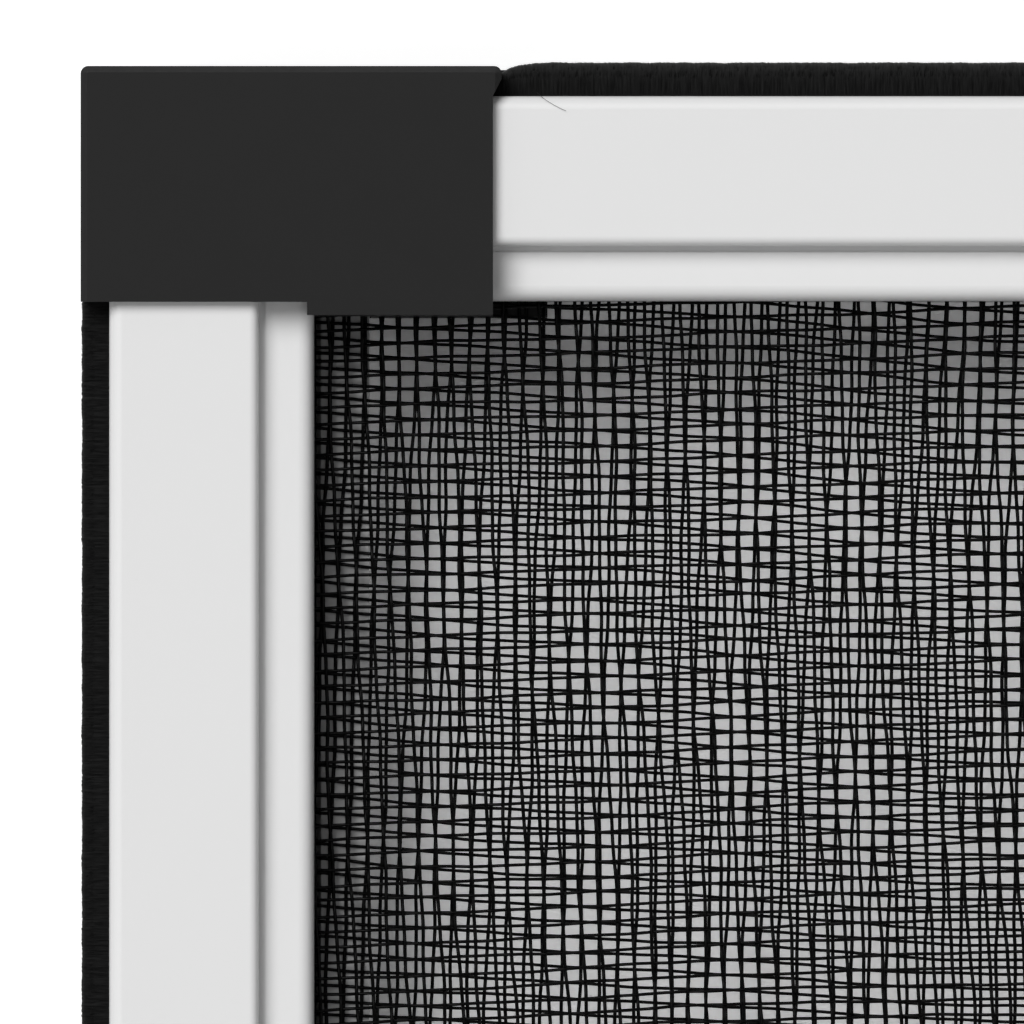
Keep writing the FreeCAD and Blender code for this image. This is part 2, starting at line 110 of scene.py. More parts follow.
def ring_faces(rings, sides, first=0):
    """Faces of a tube: each joins two neighbouring points of two neighbouring rings."""
    here = np.arange(rings - 1)[:, None] * sides
    there = here + sides
    side = np.arange(sides)[None, :]
    after = (side + 1) % sides
    quads = np.stack([here + side, here + after, there + after, there + side], -1)
    return quads.reshape(-1, 4) + first


print("a tube of 3 rings with 4 sides has", len(ring_faces(3, 4)), "faces")

# %% [markdown]
# A finish is a net of shader nodes. It could be drawn by hand in the shader editor, but
# then nobody can read it here. So small helpers make the nodes that come back again and
# again. Each takes a socket or a plain number, and links the one or sets the other.

# %% Helpers for shader nodes
# The Mix node has sockets for each kind of value, and these are the ones for colours
COLOUR_A, COLOUR_B, COLOUR_RESULT = 6, 7, 2


def group_socket(group, name, direction, kind, value=None):
    """A named input or output of a shader group."""
    socket = group.interface.new_socket(name=name, in_out=direction, socket_type=kind)
    if value is not None:
        socket.default_value = value


def feed(tree, value, socket):
    """Link an output to an input, or set the input to a number or a colour."""
    if isinstance(value, bpy.types.NodeSocket):
        tree.links.new(value, socket)
    else:
        socket.default_value = value


def math_node(tree, operation, *values):
    """The output of a Math node on one or two values."""
    node = tree.nodes.new("ShaderNodeMath")
    node.operation = operation
    for value, socket in zip(values, node.inputs):
        feed(tree, value, socket)
    return node.outputs[0]


def map_range(tree, value, low, high, lowest=0):
    """The output of a Map Range node: low to high becomes lowest to 1, and no further."""
    node = tree.nodes.new("ShaderNodeMapRange")
    feed(tree, value, node.inputs["Value"])
    feed(tree, low, node.inputs["From Min"])
    feed(tree, high, node.inputs["From Max"])
    feed(tree, lowest, node.inputs["To Min"])
    return node.outputs[0]


def noise(tree, place, scale, detail):
    """The output of a noise texture at a place, with its scale given per metre."""
    node = tree.nodes.new("ShaderNodeTexNoise")
    feed(tree, place, node.inputs["Vector"])
    feed(tree, scale, node.inputs["Scale"])
    feed(tree, detail, node.inputs["Detail"])
    return node.outputs["Fac"]


def mixed_colour(tree, share, first, second):
    """The output of a Mix node: the first colour at 0, and the second at 1."""
    node = tree.nodes.new("ShaderNodeMix")
    node.data_type = "RGBA"
    feed(tree, share, node.inputs["Factor"])
    feed(tree, first, node.inputs[COLOUR_A])
    feed(tree, second, node.inputs[COLOUR_B])
    return node.outputs[COLOUR_RESULT]


def new_material(name):
    """A material with its node tree and its Principled shader."""
    material = bpy.data.materials.new(name)
    material.use_nodes = True
    return material, material.node_tree, material.node_tree.nodes["Principled BSDF"]


def add_relief(tree, height, strength, depth):
    """A Bump node that turns a height into relief, linked to the shader's normal."""
    node = tree.nodes.new("ShaderNodeBump")
    feed(tree, strength, node.inputs["Strength"])
    feed(tree, depth, node.inputs["Distance"])
    feed(tree, height, node.inputs["Height"])
    feed(tree, node.outputs["Normal"], tree.nodes["Principled BSDF"].inputs["Normal"])


def grey(level):
    """A grey as a colour with its alpha."""
    return (level, level, level, 1)


print("a Mix node's colour sockets", COLOUR_A, COLOUR_B, COLOUR_RESULT)

# %% [markdown]
# Finishes. The frame is powder coated, which leaves a very fine orange peel. The caps are
# moulded with a spark-eroded grain. Both are a fine bump with a slow drift of colour over
# it, so one shader group makes them and each material gives it its own numbers. A group
# can't hold the shader itself, because the export reads that from the material.


# %% A shader group for a grained surface
def grain_group():
    """Fine grain and slow drift: grain is noise at one scale, drift is noise far larger.

    Colour out is the colour in, times one plus the drift. Height out is the grain.
    Roughness out is the roughness in, plus the drift.
    """
    group = bpy.data.node_groups.new("surface_grain", "ShaderNodeTree")
    group_socket(group, "Colour", "INPUT", "NodeSocketColor", grey(0.5))
    group_socket(group, "Roughness", "INPUT", "NodeSocketFloat", 0.5)
    group_socket(group, "Grain Scale", "INPUT", "NodeSocketFloat", 2000)
    group_socket(group, "Drift Scale", "INPUT", "NodeSocketFloat", 60)
    group_socket(group, "Drift Amount", "INPUT", "NodeSocketFloat", 0.05)
    group_socket(group, "Colour", "OUTPUT", "NodeSocketColor")
    group_socket(group, "Roughness", "OUTPUT", "NodeSocketFloat")
    group_socket(group, "Height", "OUTPUT", "NodeSocketFloat")
    given = group.nodes.new("NodeGroupInput").outputs
    made = group.nodes.new("NodeGroupOutput").inputs
    place = group.nodes.new("ShaderNodeTexCoord").outputs["Object"]

    feed(group, noise(group, place, given["Grain Scale"], detail=3), made["Height"])

    drift = noise(group, place, given["Drift Scale"], detail=2)
    centred = math_node(group, "SUBTRACT", drift, 0.5)
    amount = math_node(group, "MULTIPLY", centred, given["Drift Amount"])
    colour = group.nodes.new("ShaderNodeVectorMath")
    colour.operation = "SCALE"
    feed(group, given["Colour"], colour.inputs[0])
    feed(group, math_node(group, "ADD", amount, 1), colour.inputs["Scale"])
    feed(group, colour.outputs[0], made["Colour"])
    feed(group, math_node(group, "ADD", given["Roughness"], amount), made["Roughness"])
    return group


surface_grain = grain_group()
print("shader group", surface_grain.name)

# %% [markdown]
# Dust settles on whatever faces up, and light from above makes upper faces lighter too.
# Here both are one paler grey: dust and painted top light. On black plastic and pile that
# is plain to see, as a paler line along every upper edge. It is a second group: a mask
# from the upward part of the surface's own direction, broken up by noise, mixes in a grey.

# %% A shader group for dust and painted top light on upper edges
SPECK = 0.7 * MM
DUST_AND_LIGHT_GREY = 0.3


def dust_and_top_light_group():
    """Mask is the normal's upward share, times noise, times the amount given."""
    group = bpy.data.node_groups.new("dust_and_top_light", "ShaderNodeTree")
    group_socket(group, "Colour", "INPUT", "NodeSocketColor", grey(0.5))
    group_socket(group, "Dust And Light Colour", "INPUT", "NodeSocketColor", grey(DUST_AND_LIGHT_GREY))
    group_socket(group, "Amount", "INPUT", "NodeSocketFloat", 0.1)
    group_socket(group, "Colour", "OUTPUT", "NodeSocketColor")
    given = group.nodes.new("NodeGroupInput").outputs
    made = group.nodes.new("NodeGroupOutput").inputs
    place = group.nodes.new("ShaderNodeTexCoord").outputs
    normal = group.nodes.new("ShaderNodeSeparateXYZ")
    feed(group, place["Normal"], normal.inputs[0])
    # Painted top light with dust: the more a surface faces up, the paler it gets
    upward = map_range(group, normal.outputs["Z"], low=0.1, high=0.8)
    specks = noise(group, place["Object"], 1 / SPECK, detail=3)
    broken = map_range(group, specks, low=0.3, high=0.6, lowest=0.5)
    mask = math_node(group, "MULTIPLY", upward, broken)
    share = math_node(group, "MULTIPLY", mask, given["Amount"])
    lightened = mixed_colour(group, share, given["Colour"], given["Dust And Light Colour"])
    feed(group, lightened, made["Colour"])
    return group


dust_and_top_light = dust_and_top_light_group()


def add_dust_and_top_light(tree, colour, amount):
    """Put the dust and painted top light between a material's colour and its shader."""
    effect = tree.nodes.new("ShaderNodeGroup")
    effect.node_tree = dust_and_top_light
    feed(tree, grey(DUST_AND_LIGHT_GREY), effect.inputs["Dust And Light Colour"])
    feed(tree, amount, effect.inputs["Amount"])
    feed(tree, colour, effect.inputs["Colour"])
    shader = tree.nodes["Principled BSDF"]
    feed(tree, effect.outputs["Colour"], shader.inputs["Base Color"])


print("shader group", dust_and_top_light.name)

# %% [markdown]
# Each finish is one Principled shader. The grain group gives its colour and roughness,
# the grain's height goes through a Bump node, and the dust with its painted top light
# comes last before the shader.
# Sizes are in millimetres, so that they can be compared with the real surface: orange
# peel is just under a millimetre, and moulded grain about a fifth of one.


# %% The grained finishes
def grained_material(
    name, tone, roughness, grain_mm, drift_mm, drift, bump, bump_mm, dust_and_light=0, specular=0.5
):
    """A grey Principled material with its grain and drift sizes in millimetres."""
    material, tree, shader = new_material(name)
    effect = tree.nodes.new("ShaderNodeGroup")
    effect.node_tree = surface_grain
    feed(tree, grey(tone), effect.inputs["Colour"])
    feed(tree, roughness, effect.inputs["Roughness"])
    feed(tree, 1 / (grain_mm * MM), effect.inputs["Grain Scale"])
    feed(tree, 1 / (drift_mm * MM), effect.inputs["Drift Scale"])
    feed(tree, drift, effect.inputs["Drift Amount"])
    add_relief(tree, effect.outputs["Height"], bump, bump_mm * MM)
    # Dust and painted top light: a paler grey on faces that point up
    add_dust_and_top_light(tree, effect.outputs["Colour"], dust_and_light)
    feed(tree, effect.outputs["Roughness"], shader.inputs["Roughness"])
    feed(tree, specular, shader.inputs["Specular IOR Level"])
    return material


powder_coat = grained_material(
    "white_powder_coat", 0.80, 0.42,
    grain_mm=0.9, drift_mm=40, drift=0.02, bump=0.12, bump_mm=0.02,
)
# Black plastics mirror little of a bright room, so their specular level is turned down
moulded_black = grained_material(
    "black_moulded_plastic", 0.0148, 0.5,
    grain_mm=0.22, drift_mm=6, drift=0.16, bump=0.35, bump_mm=0.02,
    dust_and_light=0.035, specular=0.1,
)
groove_cord = grained_material(
    "black_groove_cord", 0.018, 0.6,
    grain_mm=0.5, drift_mm=12, drift=0.2, bump=0.3, bump_mm=0.05,
    dust_and_light=0.02, specular=0.1,
)
black_thread = grained_material(
    "coated_black_thread", 0.0012, 0.24,
    grain_mm=0.12, drift_mm=2.5, drift=0.6, bump=0.3, bump_mm=0.01,
    specular=0.06,
)
grained = (powder_coat, moulded_black, groove_cord, black_thread)
print("finishes", [material.name for material in grained])

# %% [markdown]
# In the photograph a dark band shows beside the stile, where the back frame's lip comes out
# in shade. So the sides of the bars that face the other frame get painted shade: a darker
# grey in their colour.
# It could be a second material on those faces, but a CAD mesh isn't changed. So the
# colour is chosen by the direction of the surface, which works for both frames at once.

# %% Painted shade where the frames face each other
FACING_SHADE_GREY = 0.34
# The share of a surface's direction that points at the other frame, where the painted shade
# begins
FACES_OTHER = 0.5


def paint_facing_shade(material, tone):
    """Painted shade: mix in a darker grey where the surface points at y = 0, the plane
    where the frames meet.

    The sign of y tells which side of the plane a point is on, and times the normal's y it
    is above zero where the surface points away from the plane, and below where it points
    at it.
    """
    tree = material.node_tree
    place = tree.nodes.new("ShaderNodeTexCoord").outputs
    point = tree.nodes.new("ShaderNodeSeparateXYZ")
    normal = tree.nodes.new("ShaderNodeSeparateXYZ")
    feed(tree, place["Object"], point.inputs[0])
    feed(tree, place["Normal"], normal.inputs[0])
    half = math_node(tree, "SIGN", point.outputs["Y"])
    away = math_node(tree, "MULTIPLY", half, normal.outputs["Y"])
    # Painted shade: a darker grey on faces that point at the other frame
    painted_shade = math_node(tree, "LESS_THAN", away, -FACES_OTHER)
    base = tree.nodes["Principled BSDF"].inputs["Base Color"]
    feed(tree, mixed_colour(tree, painted_shade, base.links[0].from_socket, grey(tone)), base)


paint_facing_shade(powder_coat, FACING_SHADE_GREY)
# The material that carries the painted shade on its facing sides
print("bare sides on", powder_coat.name)

# %% [markdown]
# Brush pile is a strip of thousands of fine fibres, so its surface is streaked along the
# fibres and dark in between. The streaks follow the fibres by a UV map whose V runs along
# them. Sheen gives the fuzzy light edge that fine fibres have.

# %% The pile's material
# Streaks to the metre: many side by side across the fibres, and drawn out along them
STREAKS = (6000, 500, 1)
# Where the noise is darkest and lightest, and the grey that each gets
PILE_TONES = ((0.35, 0.002), (0.75, 0.012))


def pile_material():
    """Near-black fibres: noise drawn out along V, for colour and for relief."""
    material, tree, shader = new_material("black_pile")
    feed(tree, 0.75, shader.inputs["Roughness"])
    feed(tree, 0.05, shader.inputs["Specular IOR Level"])
    feed(tree, 0.015, shader.inputs["Sheen Weight"])
    feed(tree, 0.5, shader.inputs["Sheen Roughness"])
    place = tree.nodes.new("ShaderNodeUVMap")
    place.uv_map = "fibre"
    stretch = tree.nodes.new("ShaderNodeMapping")
    feed(tree, STREAKS, stretch.inputs["Scale"])
    feed(tree, place.outputs["UV"], stretch.inputs["Vector"])
    streaks = noise(tree, stretch.outputs["Vector"], 1, detail=4)
    tone = tree.nodes.new("ShaderNodeValToRGB")
    for stop, (position, level) in zip(tone.color_ramp.elements, PILE_TONES):
        stop.position = position
        stop.color = grey(level)
    feed(tree, streaks, tone.inputs["Fac"])
    # Dust and painted top light on the fibres that face up
    add_dust_and_top_light(tree, tone.outputs["Color"], 0.06)
    add_relief(tree, streaks, strength=0.8, depth=0.15 * MM)
    return material


black_pile = pile_material()
print("finish", black_pile.name)

# %% [markdown]
# The CAD nodes keep their exact shapes, and only their material slots change. Each takes
# the finish of its slot in the record.

# %% Dress the CAD nodes
finishes = {
    "frame": powder_coat,
    "cap": moulded_black,
    "cord": groove_cord,
    "mesh": black_thread,
    "pile": black_pile,
}
for subpart in frame["record"]["subparts"]:
    node = frame["nodes"][subpart["node"]]
    for holder in node.material_slots:
        holder.material = finishes[subpart["material_slot"]]
print("dressed", len(frame["nodes"]), "nodes")

# %% [markdown]
# The mesh is a plain weave: upright threads and level threads pass over and under each
# other in turn, 16 to the inch across and 18 up. It could be a flat sheet with an
# alpha pattern, but then it has no thickness, no glints and no moiré between its two
# layers. Here each thread is a real tube.

# %% The cloth's own numbers
PITCH_A = 25.4 / 16 * MM
PITCH_B = 25.4 / 18 * MM
UPRIGHT_RADIUS = 0.168 * MM
LEVEL_RADIUS = 0.149 * MM
WEAVE_HEIGHT = 0.13 * MM
# How deep a thread's end goes in the groove, and how far over the bars it runs to get there
TUCK = 1.8 * MM
LAP = 4.55 * MM
# How far the cloth lies outside its solid's inner face, away from the other frame
INSET = 0.23 * MM
# Slow waves: how many, their lengths in millimetres, and their size as a share of that
WAVE_COUNT = 9
SHORTEST_WAVE = 22
LONGEST_WAVE = 170
WAVE_SIZE = 0.0016
print("pitch in mm", round(PITCH_A / MM, 3), round(PITCH_B / MM, 3))

# %% [markdown]
# The cloth has its own coordinates, a across and b up. A point of the cloth lands in the
# frame by a small turn, because neither mesh was cut straight, and by a few slow waves,
# because the threads shift as they are pulled tight. The moiré hangs on these numbers,
# so each of the two meshes has its own.


# %% A cloth and its coordinates
class Cloth:
    """One mesh: where its threads lie in the frame's plane, over or under each other."""

    def __init__(self, half, upright_lean, level_rise, stretch, shift):
        """Leans are shifts per unit of length; the shifts set where the threads fall."""
        rail_low, rail_high = corners(half + "_bottom_rail")
        stile_low, stile_high = corners(half + "_outer_stile")
        wall_low, wall_high = corners(half + "_mesh")
        self.half = half
        # The way out along y, away from the other frame
        self.outward = -1 if half == "front" else 1
        self.left = rail_low[0] - LAP
        self.right = rail_high[0] + LAP
        self.bottom = stile_low[2] - LAP
        self.top = stile_high[2] + LAP
        self.middle = ((self.left + self.right) / 2, (self.bottom + self.top) / 2)
        inner_face = wall_high[1] if half == "front" else wall_low[1]
        self.depth = inner_face + self.outward * INSET
        self.lean = upright_lean
        self.rise = level_rise
        self.pitch = (PITCH_A * stretch[0], PITCH_B * stretch[1])
        self.shift = shift
        self.waves = self.make_waves()

    def make_waves(self):
        """Slow waves of the cloth: direction over wavelength, size and phases of each."""
        angle = random.uniform(0, np.pi, WAVE_COUNT)
        length = np.geomspace(SHORTEST_WAVE, LONGEST_WAVE, WAVE_COUNT) * MM
        size = WAVE_SIZE * length
        phase = random.uniform(0, 2 * np.pi, (2, WAVE_COUNT))
        return np.cos(angle) / length, np.sin(angle) / length, size, phase

    def place(self, a, b):
        """Cloth coordinates to (x, z): a turned and skewed grid plus the slow waves."""
        along_a, along_b, size, phase = self.waves
        turn = 2 * np.pi * (a[..., None] * along_a + b[..., None] * along_b)
        wave_x = (size * np.sin(turn + phase[0])).sum(-1)
        wave_z = (size * np.sin(turn + phase[1])).sum(-1)
        x = self.middle[0] + a + self.lean * b + wave_x
        z = self.middle[1] + b + self.rise * a + wave_z
        return x, z

    def reach(self, fixed, upright):
        """How far a thread runs before it meets the frame: its first and last place."""
        half_width = (self.right - self.left) / 2
        half_height = (self.top - self.bottom) / 2
        along, across = (half_height, half_width) if upright else (half_width, half_height)
        slant, skew = (self.lean, self.rise) if upright else (self.rise, self.lean)
        # Along its length the thread is stopped by one pair of sides
        first = -along - skew * fixed
        last = along - skew * fixed
        # and by its slant it may meet the other pair sooner
        meets = sorted([(-across - fixed) / slant, (across - fixed) / slant])
        first, last = max(first, meets[0]), min(last, meets[1])
        # The corners belong to the caps: over a bar's lip it stops at the bar's end
        if abs(fixed + slant * first) > across - LAP:
            first = max(first, LAP - along - skew * fixed)
        if abs(fixed + slant * last) > across - LAP:
            last = min(last, along - LAP - skew * fixed)
        return first, last


front_cloth = Cloth("front", -0.0427, 0.0367, (1.019, 0.996), (0.817, 0.531))
back_cloth = Cloth("back", 0.0350, -0.0590, (1.033, 0.988), (0.488, 0.047))
print("cloth in mm", round((front_cloth.right - front_cloth.left) / MM, 1),
      round((front_cloth.top - front_cloth.bottom) / MM, 1))

# %% [markdown]
# A thread needs a bend at every crossing to look woven, which for the whole screen is far
# too many faces. So the threads are woven in full where the eye is close, in the corner
# that the camera sees, and run straight through their crossings elsewhere, where a thread
# is thinner than a pixel. The stations along a thread are close together in that corner
# and far apart in the rest, and the height of the weave fades between them.

# %% Stations along a thread
CLOSE_RIGHT = -286 * MM
CLOSE_BOTTOM = 408 * MM
FADE = 3 * MM
FAR_STEP = 44 * MM
PER_CROSSING = 2
SHORTEST_THREAD = 4 * MM
SHORTEST_STEP = 0.05 * MM


def far_stations(first, last, fewest=2):
    """Even steps from first to last, none longer than the far step."""
    return np.linspace(first, last, max(fewest, int((last - first) / FAR_STEP) + 2))


def stations(cloth, fixed, upright):
    """Places along one thread: two to a crossing in the close corner, few elsewhere."""
    first, last = cloth.reach(fixed, upright)
    if last - first < SHORTEST_THREAD:
        return None
    crossing = cloth.pitch[1] if upright else cloth.pitch[0]
    if upright:
        close_from = CLOSE_BOTTOM - cloth.middle[1] - cloth.rise * fixed
        x_there, _ = cloth.place(np.array(fixed), np.array(close_from))
        is_close = x_there < CLOSE_RIGHT
        span = (max(first, close_from), last)
    else:
        close_to = CLOSE_RIGHT - cloth.middle[0] - cloth.lean * fixed
        _, z_there = cloth.place(np.array(close_to), np.array(fixed))
        is_close = z_there > CLOSE_BOTTOM
        span = (first, min(last, close_to))
    if not is_close or span[1] - span[0] < 2 * crossing:
        return far_stations(first, last, fewest=3)
    step_from = np.ceil(span[0] / crossing * PER_CROSSING)
    step_to = np.floor(span[1] / crossing * PER_CROSSING)
    close = np.arange(step_from, step_to + 1) * crossing / PER_CROSSING
    before = far_stations(first, close[0])
    after = far_stations(close[-1], last)
    line = np.concatenate([before[:-1], close, after[1:]])
    return line[np.concatenate([[True], np.diff(line) > SHORTEST_STEP])]


for title, upright in (("upright", True), ("level", False)):
    middle_thread = stations(front_cloth, 0.0, upright)
    print("the middle", title, "thread has", len(middle_thread), "stations")

# %% [markdown]
# The centre line of a thread. Its height over the cloth is a cosine that changes sign at
# each crossing, opposite for the two sets of threads, which is what a plain weave is. A
# small wobble of its own keeps each thread from being ruled. At both ends it turns down
# into the groove, where the cord holds it.

# %% Centre lines of the threads
# A thread's own three slow waves: their lengths, and their sizes for an upright thread
# (True) and for a level one (False), all in millimetres
WOBBLE_LENGTHS = (31, 13, 6.3)
WOBBLE = {True: (0.095, 0.06, 0.03), False: (0.06, 0.04, 0.02)}
STRAY = 0.045 * MM
# How far from the cloth's middle each set lies where the threads run straight
APART = 0.07 * MM


def centre_line(cloth, number, upright):
    """Points of one thread: cloth coordinates, then the weave's height, then the tucks."""
    pitch, crossing = cloth.pitch if upright else cloth.pitch[::-1]
    shift, other_shift = cloth.shift if upright else cloth.shift[::-1]
    fixed = (number + shift) * pitch
    run = stations(cloth, fixed, upright)
    if run is None:
        return None
    phase = random.uniform(0, 2 * np.pi, 3)
    wobble = sum(
        size * MM * np.sin(2 * np.pi * run / (length * MM) + start)
        for size, length, start in zip(WOBBLE[upright], WOBBLE_LENGTHS, phase)
    )
    across = fixed + wobble + random.normal(0, STRAY)
    a, b = (across, run) if upright else (run, across)
    x, z = cloth.place(a, b)
    # This is 1 in the close corner, and falls to 0 over the corner's last few millimetres
    close = np.clip((CLOSE_RIGHT - x) / FADE, 0, 1)
    close = close * np.clip((z - CLOSE_BOTTOM) / FADE, 0, 1)
    turn = np.pi * (run / crossing - other_shift + number)
    sign = 1 if upright else -1
    y = cloth.depth + sign * WEAVE_HEIGHT * close * np.cos(turn)
    # Outside it the two sets lie one on the other
    y = y - sign * cloth.outward * APART * (1 - close)
    points = np.stack([x, y, z], -1)
    groove = np.array([0, cloth.outward * TUCK, 0])
    return np.concatenate([[points[0] + groove], points, [points[-1] + groove]])


# %% [markdown]
# Each centre line becomes a tube of four sides. The ring at a station is spread along the
# depth and along the direction across the thread in the cloth's plane. The ends stay
# open, deep in the groove, as a cut thread's end is. The two sets of threads are one
# piece, because together they are one sheet of cloth.

# %% Threads into a sheet
SIDES = 4


def thread_ring(points, radius):
    """Rings of a tube round a line of points, square to the line within the plane."""
    along = np.gradient(points, axis=0)
    along[:, 1] = 0
    # At its ends the line turns straight down into the groove, and the ring doesn't
    along[0] = along[1]
    along[-1] = along[-2]
    along /= np.linalg.norm(along, axis=1, keepdims=True)
    across = np.stack([along[:, 2], np.zeros(len(along)), -along[:, 0]], -1)
    deep = np.array([0.0, 1.0, 0.0])
    angle = (2 * np.pi * np.arange(SIDES) / SIDES)[None, :, None]
    ring = across[:, None] * np.cos(angle) + deep * np.sin(angle)
    return (points[:, None] + radius * ring).reshape(-1, 3)


def weave(cloth):
    """The whole mesh of one frame: every upright and every level thread, as one piece."""
    width = cloth.right - cloth.left
    height = cloth.top - cloth.bottom
    points, faces, threads, first = [], [], 0, 0
    for upright in (True, False):
        across = width if upright else height
        slant = abs(cloth.lean if upright else cloth.rise) * (height if upright else width)
        pitch = cloth.pitch[0 if upright else 1]
        radius = UPRIGHT_RADIUS if upright else LEVEL_RADIUS
        reach = int((across + slant) / 2 / pitch) + 1
        for number in range(-reach, reach + 1):
            line = centre_line(cloth, number, upright)
            if line is None:
                continue
            points.append(thread_ring(line, radius))
            faces.append(ring_faces(len(line), SIDES, first))
            first += len(line) * SIDES
            threads += 1
    faces = np.concatenate(faces)
    print(cloth.half, "mesh:", threads, "threads,", len(faces) * 2, "triangles")
    piece = new_piece(
        cloth.half + "_woven_mesh", np.concatenate(points), faces.tolist(),
        black_thread, cloth.half + "_half",
    )
    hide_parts(cloth.half + "_mesh")


for cloth in (front_cloth, back_cloth):
    weave(cloth)

# %% [markdown]
# The brushes keep out draughts and let the frames slide. A real one is a woven backing
# strip with a dense pile of fine fibres, held in a slot by its backing. Particle hair
# would look right but is not used. So each brush is a core, shaped like the
# packed pile with fine ridges along the fibres, and thousands of single fibres stand out
# of it, each with only four faces. They are dense where the camera is close.

# %% How each brush runs and stands
PILE_WIDTH = 4.9 * MM
MEETING_PILE_WIDTH = 3.1 * MM
BACKING = 0.9 * MM
# How far the pile stands over its solid's tip, in millimetres
TIP_OVER = {
    "top_brush": 0.07, "bottom_brush": 0.07, "outer_brush": 0.05, "meeting_brush": 0,
}
ALONG_X, ALONG_Z = 0, 2
OUT_X, OUT_Y, OUT_Z = 0, 1, 2
# The bar it sits in, the axis it runs along, the axis it stands out on, and which way it
# stands out on the front frame
BRUSHES = {
    "top_brush": ("_top_rail", ALONG_X, OUT_Z, 1),
    "bottom_brush": ("_bottom_rail", ALONG_X, OUT_Z, -1),
    "outer_brush": ("_outer_stile", ALONG_Z, OUT_X, -1),
    "meeting_brush": ("_inner_stile", ALONG_Z, OUT_Y, 1),
}
# The stretch of a brush that the camera sees, as a span on its own axis
SEEN = {
    "front_top_brush": (-337.2 * MM, -286 * MM),
    "front_outer_brush": (405 * MM, 479 * MM),
}
# How the pile rises at its ends: millimetres from the end, and which share it has there
# of what stands out of the bar
RAIL_RISE = (
    (0, 0.1), (0.25, 0.42), (0.8, 0.73), (1.4, 0.84), (2.3, 0.925), (3.4, 0.97), (5.2, 1),
)
STILE_RISE = ((0, 0.97), (0.3, 1))
# How far the pile reaches past its solid's ends, in millimetres: the rail's brush starts
# under the slant of the cap, and the stile's is pushed up to the cap
END_REACH = {
    "top_brush": 0.85, "bottom_brush": 0.85, "outer_brush": 0.15, "meeting_brush": 0,
}
print("brushes on each frame", list(BRUSHES))

# %% [markdown]
# All eight brushes are the same strip in different places, so one small class holds where
# a brush lies. Its points are given along the strip, across it and up from its base, and
# it turns them into x, y and z. So the shape has to be worked out only once.


# %% A strip and its coordinates
class Strip:
    """Where one brush lies: its three directions, its base plane and its full height."""

    def __init__(self, half, part):
        self.name = half + "_" + part
        self.body = half + "_half"
        bar, self.along, self.out, sign = BRUSHES[part]
        # The back half is the front one turned round the upright axis
        turned = half == "back" and self.out != OUT_Z
        self.sign = -sign if turned else sign
        # The three axes are numbered 0, 1 and 2, so this is the one that is left
        self.across = 3 - self.along - self.out
        low, high = corners(self.name)
        self.base = low[self.out] if self.sign > 0 else high[self.out]
        self.height = high[self.out] - low[self.out] + TIP_OVER[part] * MM
        # Height of the slot's mouth, where the pile comes out of its bar
        side = corners(half + bar)[1 if self.sign > 0 else 0][self.out]
        self.edge = abs(side - self.base)
        reach = END_REACH[part] * MM
        self.span = (low[self.along] - reach, high[self.along] + reach)
        self.centre = (low[self.across] + high[self.across]) / 2
        self.backing_half = (high[self.across] - low[self.across]) / 2
        self.pile_half = (MEETING_PILE_WIDTH if part == "meeting_brush" else PILE_WIDTH) / 2
        self.rise = np.array(RAIL_RISE if self.along == ALONG_X else STILE_RISE)
        self.seen = SEEN.get(self.name)

    def points(self, along, across, height):
        """Strip coordinates to the frame's x, y and z."""
        along, across, height = np.broadcast_arrays(along, across, height)
        point = np.empty(along.shape + (3,))
        point[..., self.along] = along
        point[..., self.across] = self.centre + across
        point[..., self.out] = self.base + self.sign * height
        return point

    def top(self, along):
        """Height of the pile: full, with the rise at each end read off its points."""
        inward = np.minimum(along - self.span[0], self.span[1] - along)
        share = np.interp(inward / MM, self.rise[:, 0], self.rise[:, 1])
        return self.edge + (self.height - self.edge) * share


strips = [Strip(half, part) for half in ("front", "back") for part in BRUSHES]
print("brushes", [strip.name for strip in strips])

# %% [markdown]
# The core is one outline carried along the strip. Its points are given by how far across
# they lie and by which share of the pile's height they have, so the same outline follows
# the pile down at its ends. Ridges that run up the pile are noise in the strip's own
# direction, the same at every height.

# %% The core of a brush
# Across as a share of the pile's half width, and height as a share of the pile's height
HALF_OUTLINE = [
    (1.00, 0.0), (1.03, 0.25), (1.03, 0.45), (1.00, 0.64), (0.93, 0.80), (0.80, 0.91),
    (0.60, 0.97), (0.25, 1.0),
]
OTHER_HALF = [(-across, share) for across, share in HALF_OUTLINE[::-1]]
PILE_OUTLINE = np.array(HALF_OUTLINE + OTHER_HALF)
SEEN_STEP = 0.13 * MM
PLAIN_STEP = 1.6 * MM
END_STEP = 0.2 * MM
# Single bundles of fibres stand a little proud of each other, less so at the top
BUNDLE_PROUD = 0.028 * MM
BUNDLE_AT_TOP = 0.6
# Wider tufts, in millimetres: how long their waves are, and how high
TUFT_LENGTHS = (2.3, 3.7, 6.1, 11)
TUFT_HEIGHT = 0.025


def strip_stations(strip):
    """Places along a strip: close together where it is seen and at its curved ends."""
    first, last = strip.span
    ends = np.arange(0, strip.rise[-1, 0] * MM + END_STEP, END_STEP)
    parts = [first + ends, last - ends, np.arange(first, last, PLAIN_STEP)]
    if strip.seen:
        low, high = max(first, strip.seen[0]), min(last, strip.seen[1])
        parts.append(np.arange(low, high, SEEN_STEP))
    line = np.unique(np.concatenate(parts))
    line = line[np.concatenate([[True], np.diff(line) > SEEN_STEP / 2])]
    line[-1] = last
    return line


def smooth_noise(line, wavelengths, size):
    """A sum of sines along a line, one for each wavelength, with random phases."""
    wavelengths = np.asarray(wavelengths) * MM
    phase = random.uniform(0, 2 * np.pi, len(wavelengths))
    waves = np.sin(2 * np.pi * line[:, None] / wavelengths + phase)
    return size * MM * waves.sum(-1) / np.sqrt(len(wavelengths))


